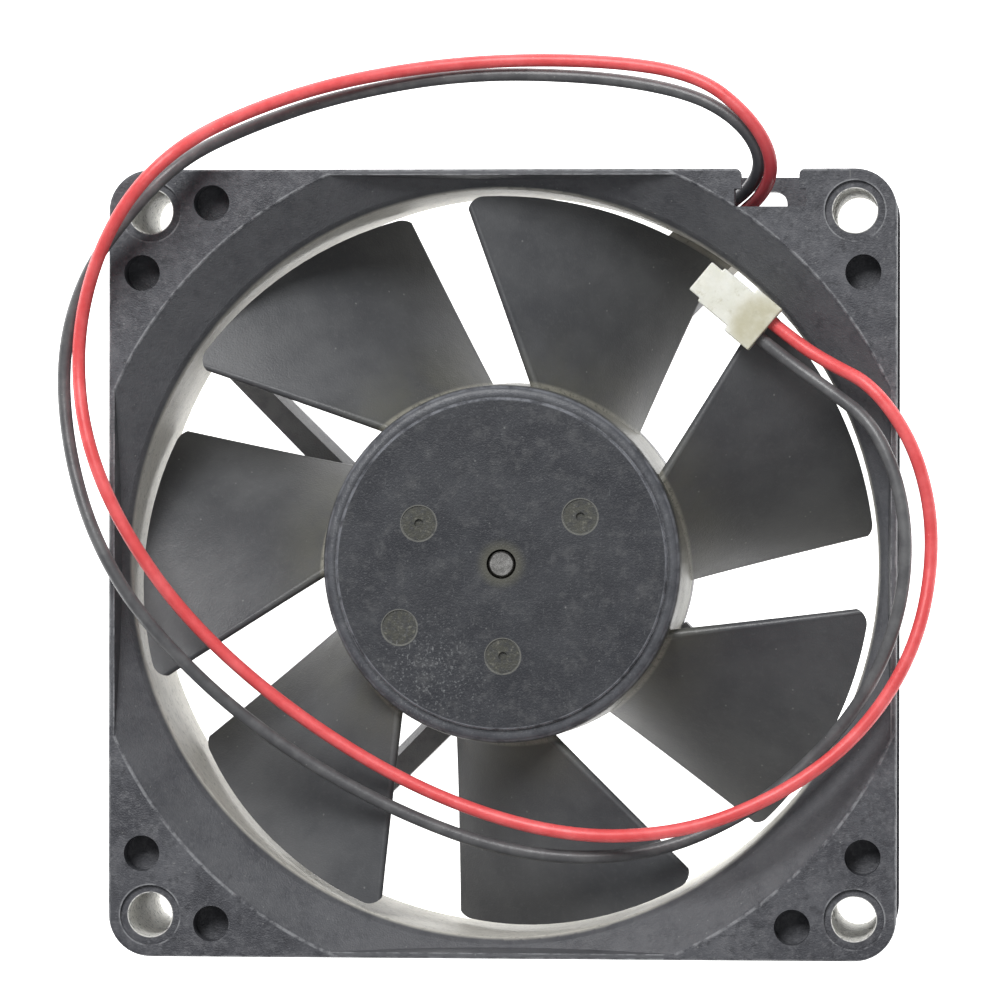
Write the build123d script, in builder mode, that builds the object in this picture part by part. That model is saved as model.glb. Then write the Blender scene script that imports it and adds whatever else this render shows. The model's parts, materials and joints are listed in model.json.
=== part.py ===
from build123d import *
import math
import os

# An 80 x 80 x 25 mm brushless axial fan with two free leads and a two-way plug.
# It lies on its exhaust side: the origin is the centre of that face and the spin
# axis is +Z, so the intake side faces up. Everything is in millimetres.

# ---------------------------------------------------------------- driving dimensions
side = 80.0
depth = 25.0
hole_pitch = 71.5
hole_r = 2.25
corner_r = (side - hole_pitch) / 2  # the corner round and the hole share one centre
edge_soft = 0.3
post_r = 4.0
hole_ring_r = 3.05
hole_ring_depth = 0.4

rear_flange = 4.0
front_flange = 4.2
duct_r = 38.1
duct_wall = 1.3
flare_r = 43.2
flare_start = 20.2
lip_width = 0.6
lip_draft = 6.0

pocket_r = 1.82
pocket_depth = 3.2
pocket_far = 36.6
pocket_near = 29.5

base_r = 18.6
base_floor = 2.0
base_rim = 1.1
base_rim_top = 4.1
label_r = 16.5
label_recess = 0.3
label_thick = 0.12

strut_height = 3.4
strut_root = 17.0
strut_offset = 6.5
strut_root_width = 3.1
strut_tip_width = 2.7
strut_bevel = 0.7
strut_bevel_drop = 2.2
lead_strut_offset = 9.0
lead_strut_width = 7.6

lead_r = 0.675
lead_spread = 0.725  # each lead lies this far to its side of the groove's centre line
groove_width = 3.2
groove_depth = 2.0
groove_start = 8.4
lead_slot = 5.8
board_notch_reach = 8.0
arch_reach = 42.0
rise_reach = 40.6
arch_length = 2.6
arch_width = 3.6
arch_window = (5.3, 4.1)
arch_window_centre = (25.65, 36.55)
arch_window_round = 1.4
notch_centre_x = 27.2
notch_floor_y = 36.15
notch_width = 7.25
mouth_width = 5.85
mouth_lip_y = 37.95
mouth_lip_height = 2.0
mouth_lip_round = 0.65
notch_round = 0.3

# The motor, from the spin axis outwards.
shaft_r = 1.5
shaft_bottom = 2.36
shaft_top = 24.3
running_gap = 0.03
shaft_chamfer = 0.35
clip_bottom = 3.4
clip_thick = 0.5
clip_play = 0.03
clip_r = 2.7
clip_groove_r = 1.1
cap_top = 2.3
bearing_bottom = 4.3
bearing_top = 17.8
bearing_chamfer = 0.3
seal_r = 1.9
bush_r = 4.0
bush_spigot_r = 2.6
bush_bottom = 19.6
slinger_r = 3.2
slinger_thick = 0.4
tube_r = 4.75
tube_wall = 1.0
tube_bottom = 1.0
tube_top = 18.8
boss_r = 6.2
boss_top = 5.4
boss_foot = 1.0
floor_bore_r = 3.0
board_r = 15.2
board_bottom = 2.4
board_top = 3.4
core_bottom = 9.5
core_top = 15.5
sheet = 0.5
lacquer = 0.02
core_ring_r = 7.2
arm_width = 4.0
shoe_inner = 12.4
shoe_outer = 14.0
shoe_half_angle = 36.0
pole_count = 4
insulator_floor = 1.0
insulator_wall = 0.5
insulator_ring = 3.0
insulator_end = 3.4
end_wall_r = 12.4
end_wall = 0.8
end_wall_half_angle = 30.0
pin_r = 0.3
pin_reach = 9.6
pin_lug = 2.2
pin_lug_height = 3.2
coil_inner = 7.7
coil_outer = 11.3
coil_width = 8.8
coil_height = 11.8
coil_round = 2.0
coil_middle = 12.5
chip_reach = 11.0
chip_angle = 270.0
leg_pitch = 1.27
leg_width = 0.4
solder_r = 0.85
solder_height = 0.5
lead_end_reach = 3.0
lead_on_board = 4.5
lead_in_groove = 1.05
bead_r = 0.65
bead_height = 1.6
magnet_inner = 14.5
magnet_outer = 16.1
magnet_bottom = 6.2
magnet_top = 18.2
yoke_outer = 16.9
yoke_bottom = 5.4
yoke_top = 22.9
yoke_thick = 0.8

hub_r_front = 18.2
hub_r_rear = 18.6
hub_top = 24.4
hub_bottom = 4.8
hub_disc_r = 16.85
hub_step = 0.35
hub_shoulder = 0.9
hub_disc_soft = 0.15

gate_r = 1.8
gate_pip_r = 0.45
gate_depth = 0.15
gate_reach = 9.35
gate_angles = (31, 154, 271)
ejector_reach = 12.2
ejector_angle = 212

blade_count = 7
blade_root_r = 17.6
blade_tip_r = 37.45
blade_tip_round = 1.7
blade_reaches = (15.5, 23.0, 31.0, 39.0)
blade_front = 21.5
blade_rear = 6.0
blade_middle_angle = 18.5
leading_hub_angle = 29.0
leading_tip_angle = 44.7
trailing_hub_angle = -5.3
trailing_tip_angle = 4.4
blade_camber = 0.07
blade_root_thick = 1.5
blade_tip_thick = 0.95

plug_length = 8.5
plug_height = 3.2
plug_nose_width = 3.6
plug_nose_length = 1.4
plug_body_width = 4.3
plug_collar_width = 5.4
plug_collar_length = 3.2
plug_soft = 0.15
plug_centre = (23.45, 26.45, 23.75)
latch_window = (2.2, 0.8)
latch_window_depth = 0.9
plug_angle = -40.0
pin_pitch = 2.0
cavity_r = 0.725
contact_bore_r = 0.35
contact_inset = 0.4
lead_seat = 2.6  # where a lead meets its contact, along the plug from its middle

os.makedirs("parts", exist_ok=True)


def save(piece, label):
    """Label a finished piece and write it as its own STEP file."""
    piece.part.label = label
    export_step(piece.part, f"parts/{label}.step")


def polar(reach, angle, height=0.0):
    """The point at a reach and an angle about the spin axis."""
    turn = math.radians(angle)
    return (reach * math.cos(turn), reach * math.sin(turn), height)


def strut_point(reach, offset, height):
    """A point by its reach along the lead strut's direction and its offset across it."""
    out = Vector(*polar(1, 45))
    return out * reach + Vector(-out.Y, out.X) * offset + Vector(0, 0, height)


def upright_plane(angle, reach, offset=0.0, height=0.0):
    """A plane facing outwards: local x runs anticlockwise and local y runs up."""
    out = Vector(*polar(1, angle))
    across = Vector(*polar(1, angle + 90))
    return Plane(origin=out * reach + across * offset + Vector(0, 0, height), x_dir=across, z_dir=out)


# ---------------------------------------------------------------- frame
# The cutter for the intake flare: a cone with a rounded throat, trimmed by a drafted
# square so that a thin straight lip is left along the middle of each side.
throat_r = duct_r + 0.7
throat_z = flare_start + 1.4
with BuildPart() as flare:
    with BuildSketch(Plane.XZ):
        with BuildLine():
            Line((0, flare_start), (0, depth))
            Line((0, depth), (flare_r, depth))
            cone = Line((flare_r, depth), (throat_r, throat_z))
            TangentArc((throat_r, throat_z), (duct_r, flare_start), tangent=cone % 1)
            Line((duct_r, flare_start), (0, flare_start))
        make_face()
    revolve(axis=Axis.Z)
    with BuildSketch(Plane.XY.offset(depth)):
        Rectangle(side - 2 * lip_width, side - 2 * lip_width)
    extrude(amount=flare_start - depth, taper=lip_draft, mode=Mode.INTERSECT)

struts = (
    (45, lead_strut_offset, lead_strut_width, lead_strut_width),
    (135, strut_offset, strut_root_width, strut_tip_width),
    (225, strut_offset, strut_root_width, strut_tip_width),
    (315, strut_offset, strut_root_width, strut_tip_width),
)

with BuildPart() as frame:
    # Two square flanges on a round duct, joined at the corners by the screw posts.
    with BuildSketch():
        RectangleRounded(side, side, corner_r)
    extrude(amount=depth)
    fillet(frame.faces().filter_by(Axis.Z).edges(), edge_soft)
    with BuildSketch(Plane.XY.offset(rear_flange)):
        Rectangle(side + 2, side + 2)
        Circle(duct_r + duct_wall, mode=Mode.SUBTRACT)
        with GridLocations(hole_pitch, hole_pitch, 2, 2):
            Circle(post_r, mode=Mode.SUBTRACT)
    extrude(amount=depth - rear_flange - front_flange, mode=Mode.SUBTRACT)
    with BuildSketch():
        Circle(duct_r)
    extrude(amount=depth, mode=Mode.SUBTRACT)
    add(flare.part, mode=Mode.SUBTRACT)

    # The motor base: a floor, a low rim round it, and a stepped boss for the bearing tube.
    with BuildSketch():
        Circle(base_r)
    extrude(amount=base_floor)
    with BuildSketch(Plane.XY.offset(base_floor)):
        Circle(base_r)
        Circle(base_r - base_rim, mode=Mode.SUBTRACT)
    extrude(amount=base_rim_top - base_floor)

    # Four struts set off the axis, each bevelled on the side that the blades pass first.
    for angle, offset, root_width, tip_width in struts:
        for reach, width in ((strut_root, root_width), (duct_r + duct_wall / 2, tip_width)):
            with BuildSketch(upright_plane(angle, reach, offset)):
                with BuildLine():
                    Polyline(
                        (-width / 2, 0),
                        (width / 2, 0),
                        (width / 2, strut_height),
                        (strut_bevel - width / 2, strut_height),
                        (-width / 2, strut_height - strut_bevel_drop),
                        close=True,
                    )
                make_face()
        loft(ruled=True)
    with BuildSketch(Plane.XY.offset(board_bottom)):
        Circle(base_r - base_rim)
    extrude(amount=strut_height, mode=Mode.SUBTRACT)
    with BuildSketch(Plane.XY.offset(base_floor)):
        Circle(boss_r + boss_foot)
    extrude(amount=board_bottom - base_floor)
    with BuildSketch(Plane.XY.offset(base_floor)):
        Circle(boss_r)
    extrude(amount=boss_top - base_floor)

    # The bearing tube's seat, its open floor, and the recess for the rear label.
    with BuildSketch(Plane.XY.offset(tube_bottom)):
        Circle(tube_r)
    extrude(amount=boss_top, mode=Mode.SUBTRACT)
    with BuildSketch():
        Circle(floor_bore_r)
    extrude(amount=tube_bottom, mode=Mode.SUBTRACT)
    with BuildSketch():
        Circle(label_r)
    extrude(amount=label_recess, mode=Mode.SUBTRACT)

    # Screw holes with their shallow rings, and the blind pockets beside them.
    with BuildSketch():
        with GridLocations(hole_pitch, hole_pitch, 2, 2):
            Circle(hole_r)
    extrude(amount=depth, mode=Mode.SUBTRACT)
    with BuildSketch(Plane.XY.offset(depth)):
        with GridLocations(hole_pitch, hole_pitch, 2, 2):
            Circle(hole_ring_r)
    extrude(amount=-hole_ring_depth, mode=Mode.SUBTRACT)
    with BuildSketch(Plane.XY.offset(depth)):
        with GridLocations(2 * pocket_far, 2 * pocket_near, 2, 2):
            Circle(pocket_r)
        with Locations((-pocket_near, pocket_far), (-pocket_near, -pocket_far), (pocket_near, -pocket_far)):
            Circle(pocket_r)
    extrude(amount=-pocket_depth, mode=Mode.SUBTRACT)

    # The leads' way out: a groove under the lead strut, an arch up through the rear
    # flange, and a notch in the front flange with a narrower mouth near its top.
    with BuildSketch(upright_plane(45, groove_start, lead_strut_offset)):
        with Locations((0, groove_depth / 2)):
            Rectangle(groove_width, groove_depth)
    extrude(amount=arch_reach - groove_start, mode=Mode.SUBTRACT)
    with BuildSketch():
        with Locations(strut_point(groove_start + lead_slot / 2, lead_strut_offset, 0)):
            Rectangle(lead_slot, groove_width, rotation=45)
    extrude(amount=board_top, mode=Mode.SUBTRACT)
    with BuildSketch():
        with Locations(strut_point(arch_reach, lead_strut_offset, 0)):
            SlotCenterToCenter(arch_length, arch_width, rotation=45)
        with Locations(arch_window_centre):
            RectangleRounded(*arch_window, arch_window_round)
    extrude(amount=rear_flange, mode=Mode.SUBTRACT)
    with BuildSketch(Plane.XY.offset(depth)) as mouth:
        with Locations((notch_centre_x, notch_floor_y)):
            Rectangle(notch_width, mouth_lip_y - notch_floor_y, align=(Align.CENTER, Align.MIN))
            Rectangle(mouth_width, side / 2 - notch_floor_y, align=(Align.CENTER, Align.MIN))
        with Locations((notch_centre_x, side / 2)):
            Rectangle(2 * notch_width, mouth_lip_y - notch_floor_y, align=(Align.CENTER, Align.MIN))
        outer_corners = mouth.vertices().filter_by_position(Axis.Y, side / 2 - 0.1, side / 2 + 0.1)
        inner_corners = mouth.vertices().filter_by_position(Axis.Y, 0, side / 2 - 0.1)
        fillet(outer_corners.sort_by_distance((notch_centre_x, side / 2))[:2], mouth_lip_round)
        fillet(inner_corners, notch_round)
    extrude(amount=-front_flange, mode=Mode.SUBTRACT)
    with BuildSketch(Plane.XY.offset(depth - mouth_lip_height)):
        with Locations((notch_centre_x, notch_floor_y)):
            Rectangle(notch_width, side / 2, align=(Align.CENTER, Align.MIN))
    extrude(amount=mouth_lip_height - front_flange, mode=Mode.SUBTRACT)
save(frame, "frame")

# ---------------------------------------------------------------- impeller
def edge_line(hub_angle, tip_angle):
    """A blade's edge is straight in plan: its hub end and tip end, as reach and offset."""
    hub_end = Vector(*polar(hub_r_front, hub_angle - blade_middle_angle))
    tip_end = Vector(*polar(blade_tip_r, tip_angle - blade_middle_angle))
    return hub_end, tip_end


def edge_offset(edge, reach):
    """How far to the side the edge lies at this reach from the axis."""
    hub_end, tip_end = edge
    share = (reach - hub_end.X) / (tip_end.X - hub_end.X)
    return hub_end.Y + (tip_end.Y - hub_end.Y) * share


leading_edge = edge_line(leading_hub_angle, leading_tip_angle)
trailing_edge = edge_line(trailing_hub_angle, trailing_tip_angle)
root_reach = blade_reaches[0]
end_reach = blade_reaches[-1]
with BuildPart() as blade:
    for reach in blade_reaches:
        rear_edge = edge_offset(trailing_edge, reach)
        front_edge = edge_offset(leading_edge, reach)
        chord = Vector(front_edge - rear_edge, blade_front - blade_rear)
        along = chord.normalized()
        lift = Vector(-along.Y, along.X)
        thinning = (reach - blade_root_r) / (blade_tip_r - blade_root_r)
        half = (blade_root_thick + (blade_tip_thick - blade_root_thick) * thinning) / 2
        rear = Vector(rear_edge, blade_rear) + along * half
        front = Vector(front_edge, blade_front) - along * half
        bow = lift * (chord.length * blade_camber)
        middle = (rear + front) * 0.5 + bow
        with BuildSketch(upright_plane(blade_middle_angle, reach)):
            with BuildLine():
                ThreePointArc(rear + lift * half, middle + lift * half, front + lift * half)
                ThreePointArc(front + lift * half, front + along * half, front - lift * half)
                ThreePointArc(front - lift * half, middle - lift * half, rear - lift * half)
                ThreePointArc(rear - lift * half, rear - along * half, rear + lift * half)
            make_face()
    loft()
    # Trim the root inside the hub's wall and the tip to its sweep, with rounded tip corners.
    with BuildSketch(Plane.XY.rotated((0, 0, blade_middle_angle))) as planform:
        with BuildLine():
            Polyline(
                (root_reach, edge_offset(trailing_edge, root_reach) - blade_root_thick / 2),
                (end_reach, edge_offset(trailing_edge, end_reach) - blade_tip_thick / 4),
                (end_reach, edge_offset(leading_edge, end_reach) + blade_tip_thick / 4),
                (root_reach, edge_offset(leading_edge, root_reach) + blade_root_thick / 2),
                close=True,
            )
        make_face()
        Circle(blade_tip_r, mode=Mode.INTERSECT)
        Circle(blade_root_r, mode=Mode.SUBTRACT)
        fillet(planform.vertices().sort_by_distance((0, 0))[-2:], blade_tip_round)
    extrude(amount=depth, mode=Mode.INTERSECT)

shoulder_start = (hub_r_front - hub_shoulder, hub_top - hub_step)
shoulder_end = (hub_r_front, hub_top - hub_step - hub_shoulder)
with BuildPart() as impeller:
    # The hub is a cup: a stepped disc, a rounded shoulder and a slightly drafted wall.
    with BuildSketch(Plane.XZ):
        with BuildLine():
            Polyline(
                (0, hub_top),
                (hub_disc_r - hub_disc_soft, hub_top),
                (hub_disc_r, hub_top - hub_disc_soft),
                (hub_disc_r, hub_top - hub_step),
                shoulder_start,
            )
            RadiusArc(shoulder_start, shoulder_end, hub_shoulder)
            Polyline(
                shoulder_end,
                (hub_r_rear, hub_bottom),
                (yoke_outer, hub_bottom),
                (yoke_outer, yoke_top),
                (0, yoke_top),
                (0, hub_top),
            )
        make_face()
    revolve(axis=Axis.Z)
    with PolarLocations(0, blade_count):
        add(blade.part)
    with BuildSketch():
        Circle(shaft_r)
    extrude(amount=depth, mode=Mode.SUBTRACT)
    # Moulding marks on the hub's face: three with a centre pip, one plain.
    with BuildSketch(Plane.XY.offset(hub_top)):
        for angle in gate_angles:
            with PolarLocations(gate_reach, 1, angle):
                Circle(gate_r)
        with PolarLocations(ejector_reach, 1, ejector_angle):
            Circle(gate_r)
    extrude(amount=-gate_depth, mode=Mode.SUBTRACT)
    with BuildSketch(Plane.XY.offset(hub_top)):
        for angle in gate_angles:
            with PolarLocations(gate_reach, 1, angle):
                Circle(gate_pip_r)
    extrude(amount=-3 * gate_depth, mode=Mode.SUBTRACT)
save(impeller, "impeller")

# ---------------------------------------------------------------- rotor inside the hub
with BuildPart() as rotor_yoke:
    # A drawn steel cup that closes the magnet's field.
    with BuildSketch(Plane.XZ):
        with BuildLine():
            Polyline(
                (bush_spigot_r, yoke_top),
                (yoke_outer, yoke_top),
                (yoke_outer, yoke_bottom),
                (magnet_outer, yoke_bottom),
                (magnet_outer, yoke_top - yoke_thick),
                (bush_spigot_r, yoke_top - yoke_thick),
                close=True,
            )
        make_face()
    revolve(axis=Axis.Z)
save(rotor_yoke, "rotor_yoke")

with BuildPart() as rotor_magnet:
    with BuildSketch(Plane.XY.offset(magnet_bottom)):
        Circle(magnet_outer)
        Circle(magnet_inner, mode=Mode.SUBTRACT)
    extrude(amount=magnet_top - magnet_bottom)
save(rotor_magnet, "rotor_magnet")

with BuildPart() as shaft_bush:
    # The brass bush that holds the shaft square in the cup.
    with BuildSketch(Plane.XY.offset(bush_bottom)):
        Circle(bush_r)
        Circle(shaft_r, mode=Mode.SUBTRACT)
    extrude(amount=yoke_top - yoke_thick - bush_bottom)
    with BuildSketch(Plane.XY.offset(bush_bottom)):
        Circle(bush_spigot_r)
        Circle(shaft_r, mode=Mode.SUBTRACT)
    extrude(amount=yoke_top - bush_bottom)
save(shaft_bush, "shaft_bush")

with BuildPart() as shaft:
    with BuildSketch(Plane.XY.offset(shaft_bottom)):
        Circle(shaft_r)
    extrude(amount=shaft_top - shaft_bottom)
    chamfer(shaft.edges().filter_by(GeomType.CIRCLE), shaft_chamfer)
    with BuildSketch(Plane.XY.offset(clip_bottom)):
        Circle(shaft_r)
        Circle(clip_groove_r, mode=Mode.SUBTRACT)
    extrude(amount=clip_thick, mode=Mode.SUBTRACT)
save(shaft, "shaft")

with BuildPart() as retaining_clip:
    # A split washer in the shaft's groove.
    with BuildSketch(Plane.XY.offset(clip_bottom + clip_play)):
        Circle(clip_r)
        Circle(clip_groove_r, mode=Mode.SUBTRACT)
        with Locations((clip_r / 2, 0)):
            Rectangle(clip_r, clip_groove_r, mode=Mode.SUBTRACT)
    extrude(amount=clip_thick - 2 * clip_play)
save(retaining_clip, "retaining_clip")

with BuildPart() as oil_slinger:
    with BuildSketch(Plane.XY.offset(bush_bottom - slinger_thick)):
        Circle(slinger_r)
        Circle(shaft_r, mode=Mode.SUBTRACT)
    extrude(amount=slinger_thick)
save(oil_slinger, "oil_slinger")

# ---------------------------------------------------------------- bearing
with BuildPart() as bearing_tube:
    with BuildSketch(Plane.XY.offset(tube_bottom)):
        Circle(tube_r)
        Circle(tube_r - tube_wall, mode=Mode.SUBTRACT)
    extrude(amount=tube_top - tube_bottom)
save(bearing_tube, "bearing_tube")

with BuildPart() as thrust_cap:
    # It plugs the tube's rear end and carries the shaft's tip.
    with BuildSketch(Plane.XY.offset(tube_bottom)):
        Circle(tube_r - tube_wall)
    extrude(amount=cap_top - tube_bottom)
save(thrust_cap, "thrust_cap")

with BuildPart() as sleeve_bearing:
    with BuildSketch(Plane.XY.offset(bearing_bottom)):
        Circle(tube_r - tube_wall)
    extrude(amount=bearing_top - bearing_bottom)
    chamfer(sleeve_bearing.edges().filter_by(GeomType.CIRCLE), bearing_chamfer)
    with BuildSketch(Plane.XY.offset(bearing_bottom)):
        Circle(shaft_r + running_gap)
    extrude(amount=bearing_top - bearing_bottom, mode=Mode.SUBTRACT)
save(sleeve_bearing, "sleeve_bearing")

with BuildPart() as oil_seal:
    with BuildSketch(Plane.XY.offset(bearing_top)):
        Circle(tube_r - tube_wall)
        Circle(seal_r, mode=Mode.SUBTRACT)
    extrude(amount=tube_top - bearing_top)
save(oil_seal, "oil_seal")

# ---------------------------------------------------------------- stator
with BuildPart() as stator_core:
    # A stack of lacquered steel sheets, each a ring with four T-shaped poles.
    for layer in range(round((core_top - core_bottom) / sheet)):
        with BuildSketch(Plane.XY.offset(core_bottom + layer * sheet)):
            Circle(core_ring_r)
            with PolarLocations(core_ring_r - 0.5, pole_count):
                Rectangle(shoe_inner + 1 - core_ring_r, arm_width, align=(Align.MIN, Align.CENTER))
            for pole in range(pole_count):
                with BuildLine():
                    start = pole * 360 / pole_count - shoe_half_angle
                    outer = CenterArc((0, 0), shoe_outer, start, 2 * shoe_half_angle)
                    inner = CenterArc((0, 0), shoe_inner, start, 2 * shoe_half_angle)
                    Line(outer @ 0, inner @ 0)
                    Line(outer @ 1, inner @ 1)
                make_face()
            Circle(tube_r, mode=Mode.SUBTRACT)
        extrude(amount=sheet - lacquer)
save(stator_core, "stator_core")


def build_insulator(face, outwards, ring_height, label):
    """Half of the moulded bobbin, against one face of the core; outwards is +1 or -1."""
    with BuildPart() as insulator:
        with BuildSketch(Plane.XY.offset(face)):
            with PolarLocations(core_ring_r - 0.5, pole_count):
                Rectangle(
                    end_wall_r + 0.8 - core_ring_r,
                    arm_width + 2 * insulator_wall,
                    align=(Align.MIN, Align.CENTER),
                )
            Circle(tube_r, mode=Mode.SUBTRACT)
        extrude(amount=outwards * insulator_floor)
        with BuildSketch(Plane.XY.offset(face)):
            Circle(core_ring_r + 0.2)
            Circle(tube_r, mode=Mode.SUBTRACT)
        extrude(amount=outwards * ring_height)
        for pole in range(pole_count):
            with BuildSketch(Plane.XY.offset(face)):
                with BuildLine():
                    start = pole * 360 / pole_count - end_wall_half_angle
                    outer = CenterArc((0, 0), end_wall_r + end_wall, start, 2 * end_wall_half_angle)
                    inner = CenterArc((0, 0), end_wall_r, start, 2 * end_wall_half_angle)
                    Line(outer @ 0, inner @ 0)
                    Line(outer @ 1, inner @ 1)
                make_face()
            extrude(amount=outwards * insulator_end)
        with BuildSketch(Plane.XY.offset(face)):
            with PolarLocations(core_ring_r + 0.35, pole_count):
                for hand in (-1, 1):
                    with Locations((0, hand * (arm_width + insulator_wall) / 2)):
                        Rectangle(
                            shoe_inner - core_ring_r - 0.7,
                            insulator_wall,
                            align=(Align.MIN, Align.CENTER),
                        )
        extrude(amount=outwards * (core_bottom - core_top) / 2)
        if outwards < 0:
            with BuildSketch(Plane.XY.offset(face)):
                with PolarLocations(pin_reach, pole_count, 45):
                    Rectangle(pin_lug + 2, pin_lug, align=(Align.MAX, Align.CENTER))
                    Circle(pin_lug / 2)
                with PolarLocations(pin_reach, pole_count, 45):
                    Circle(pin_r, mode=Mode.SUBTRACT)
                Circle(core_ring_r, mode=Mode.SUBTRACT)
            extrude(amount=outwards * pin_lug_height)
    save(insulator, label)


build_insulator(core_top, 1, insulator_ring, "insulator_front")
build_insulator(core_bottom, -1, core_bottom - boss_top, "insulator_rear")

for pole in range(pole_count):
    # Each coil of enamelled wire is one block around its arm.
    with BuildPart() as winding:
        with BuildSketch(upright_plane(pole * 360 / pole_count, coil_inner, height=coil_middle)):
            RectangleRounded(coil_width, coil_height, coil_round)
            Rectangle(
                arm_width + 2 * insulator_wall,
                core_top - core_bottom + 2 * insulator_floor,
                mode=Mode.SUBTRACT,
            )
        extrude(amount=coil_outer - coil_inner)
    save(winding, f"winding_{pole + 1}")

with BuildPart() as winding_pins:
    with BuildSketch(Plane.XY.offset(board_bottom - 0.3)):
        with PolarLocations(pin_reach, pole_count, 45):
            Circle(pin_r)
    extrude(amount=core_bottom - board_bottom + 0.3)
save(winding_pins, "winding_pins")

# ---------------------------------------------------------------- circuit board
with BuildPart() as circuit_board:
    with BuildSketch(Plane.XY.offset(board_bottom)):
        Circle(board_r)
        Circle(boss_r + 0.1, mode=Mode.SUBTRACT)
        with PolarLocations(pin_reach, pole_count, 45):
            Circle(pin_r, mode=Mode.SUBTRACT)
        with Locations(strut_point(board_notch_reach + board_r / 2, lead_strut_offset, 0)):
            Rectangle(board_r, groove_width, rotation=45, mode=Mode.SUBTRACT)
    extrude(amount=board_top - board_bottom)
save(circuit_board, "circuit_board")


def build_chips(label, places, size):
    """Small rectangular parts on the board: places are (reach, angle), size is along, out, up."""
    with BuildPart() as chips:
        for reach, angle in places:
            with BuildSketch(Plane.XY.offset(board_top)):
                with PolarLocations(reach, 1, angle):
                    Rectangle(size[1], size[0])
            extrude(amount=size[2])
        chamfer(chips.faces().sort_by(Axis.Z)[-len(places):].edges(), min(size) / 10)
    save(chips, label)


build_chips("hall_sensor", ((12.9, 20),), (4.0, 1.5, 2.4))
build_chips("drive_chip", ((chip_reach, chip_angle),), (4.9, 3.9, 1.5))
build_chips("filter_capacitor", ((12.0, 340),), (3.2, 2.2, 1.6))
build_chips("blocking_diode", ((11.0, 180),), (4.3, 2.6, 2.0))
build_chips("chip_resistors", ((10.0, 208), (12.8, 208), (12.0, 155)), (2.0, 1.2, 0.5))

with BuildPart() as chip_legs:
    # Four pairs of bent legs on the drive chip.
    for hand in (-1, 1):
        for step in range(4):
            outwards = Vector(*polar(1, chip_angle))
            across = Vector(*polar(1, chip_angle + 90))
            origin = outwards * chip_reach + across * (leg_pitch * (step - 1.5) - leg_width / 2)
            with BuildSketch(Plane(origin + Vector(0, 0, board_top), x_dir=outwards, z_dir=-across)):
                with BuildLine():
                    Polyline(
                        (hand * 1.95, 0.60),
                        (hand * 2.25, 0.60),
                        (hand * 2.40, 0.00),
                        (hand * 2.90, 0.00),
                        (hand * 2.90, 0.16),
                        (hand * 2.52, 0.16),
                        (hand * 2.37, 0.76),
                        (hand * 1.95, 0.76),
                        close=True,
                    )
                make_face()
            extrude(amount=-leg_width)
save(chip_legs, "chip_legs")

with BuildPart() as solder_joints:
    # A cone round each winding pin and a bead at the end of each lead.
    with BuildSketch(Plane.XY.offset(board_top)):
        with PolarLocations(pin_reach, pole_count, 45):
            Circle(solder_r)
    extrude(amount=solder_height, taper=30)
    with BuildSketch(Plane.XY.offset(board_top)):
        with PolarLocations(pin_reach, pole_count, 45):
            Circle(pin_r)
    extrude(amount=solder_height, mode=Mode.SUBTRACT)
    for hand in (-1, 1):
        with BuildSketch(Plane.XY.offset(board_top)):
            with Locations(strut_point(lead_end_reach - bead_r, lead_strut_offset + hand * lead_spread, 0)):
                Circle(bead_r)
        extrude(amount=bead_height, taper=12)
save(solder_joints, "solder_joints")

with BuildPart() as rear_label:
    with BuildSketch(Plane.XY.offset(label_recess - label_thick)):
        Circle(label_r - 0.2)
    extrude(amount=label_thick)
save(rear_label, "rear_label")

# ---------------------------------------------------------------- two-way plug
plug_plane = Plane(origin=plug_centre, x_dir=polar(1, plug_angle))
with BuildPart() as connector_housing:
    # A nose, a body, a wider collar at the wire end, and two through cavities. The
    # contacts' latches catch in two windows in its underside.
    with BuildSketch(plug_plane.offset(-plug_height / 2)):
        Rectangle(plug_length, plug_nose_width)
        with Locations((plug_nose_length / 2, 0)):
            Rectangle(plug_length - plug_nose_length, plug_body_width)
        with Locations(((plug_length - plug_collar_length) / 2, 0)):
            Rectangle(plug_collar_length, plug_collar_width)
    extrude(amount=plug_height)
    fillet(connector_housing.edges(), plug_soft)
    with BuildSketch(plug_plane.offset(-plug_height / 2)):
        with Locations((-plug_length / 4, -pin_pitch / 2), (-plug_length / 4, pin_pitch / 2)):
            Rectangle(*latch_window)
    extrude(amount=latch_window_depth, mode=Mode.SUBTRACT)
    with BuildSketch(Plane(plug_plane.origin, x_dir=plug_plane.y_dir, z_dir=plug_plane.x_dir)):
        for hand in (-1, 1):
            with Locations((hand * pin_pitch / 2, 0)):
                Circle(cavity_r)
    extrude(amount=plug_length, both=True, mode=Mode.SUBTRACT)
save(connector_housing, "connector_housing")

across_plug = Plane(plug_plane.origin, x_dir=plug_plane.y_dir, z_dir=plug_plane.x_dir)
with BuildPart() as connector_terminals:
    # A rolled contact in each cavity, closed where it is crimped on the lead.
    with BuildSketch(across_plug.offset(contact_inset - plug_length / 2)):
        with Locations((-pin_pitch / 2, 0), (pin_pitch / 2, 0)):
            Circle(cavity_r)
    extrude(amount=lead_seat + plug_length / 2 - contact_inset)
    with BuildSketch(across_plug.offset(contact_inset - plug_length / 2)):
        with Locations((-pin_pitch / 2, 0), (pin_pitch / 2, 0)):
            Circle(contact_bore_r)
    extrude(amount=plug_length / 2, mode=Mode.SUBTRACT)
save(connector_terminals, "connector_terminals")

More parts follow.
